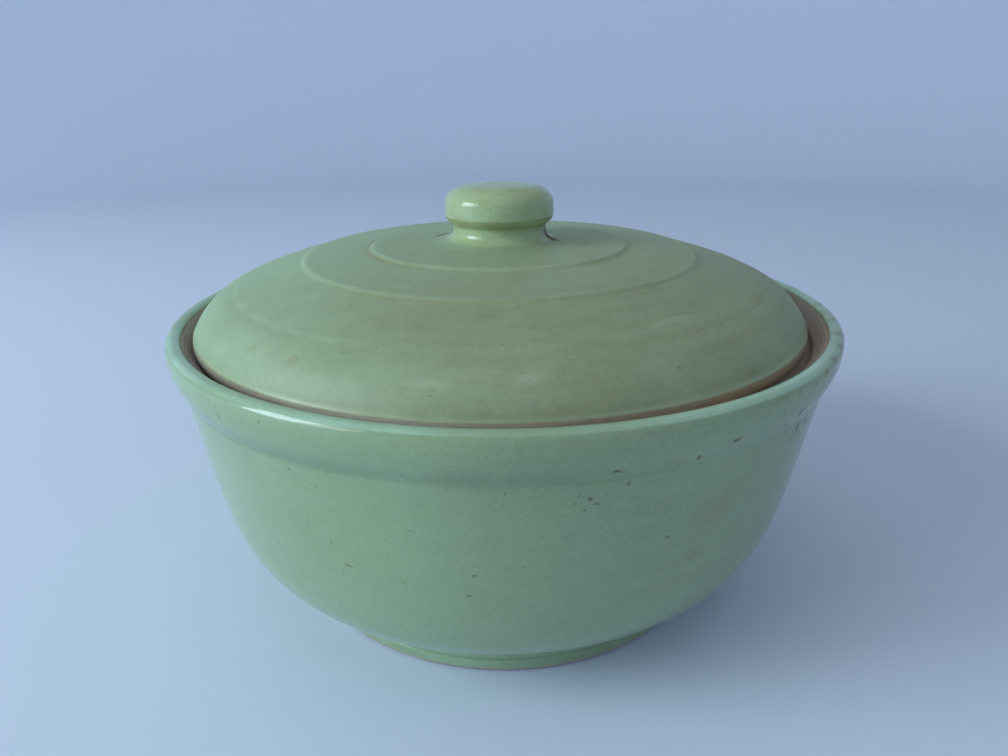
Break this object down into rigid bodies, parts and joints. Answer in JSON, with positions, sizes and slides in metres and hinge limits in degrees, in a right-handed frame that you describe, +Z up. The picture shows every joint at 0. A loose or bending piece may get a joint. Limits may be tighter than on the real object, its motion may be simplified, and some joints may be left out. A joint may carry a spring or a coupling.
{
  "type": "covered stoneware bowl",
  "caption": "Round thrown stoneware bowl with a collared rim and an inner ledge, and a domed, ringed lid with a round knob that lifts off.",
  "frame": {"origin": "centre of the bowl's foot, on the surface that it stands on", "axes": "+Z up along the bowl's axis; -Y is the side that faces the camera in the picture"},
  "size_m": [0.24, 0.24, 0.1504],
  "materials": {
    "bowl_glaze": "glossy pale green glaze over stoneware, bare brown clay on the ledge and the foot's edge",
    "lid_glaze": "semi-gloss mottled green glaze over stoneware, bare brown clay on the edge",
    "knob_glaze": "glossy yellowish green glaze over stoneware"
  },
  "bodies": {
    "bowl": {"bowl": "bowl_glaze"},
    "lid": {"lid": "lid_glaze", "knob": "knob_glaze"}
  },
  "joints": [
    {"name": "lid_lift", "type": "slide", "parent": "bowl", "child": "lid", "axis": [0, 0, 1], "range_m": [0, 0.15]}
  ]
}
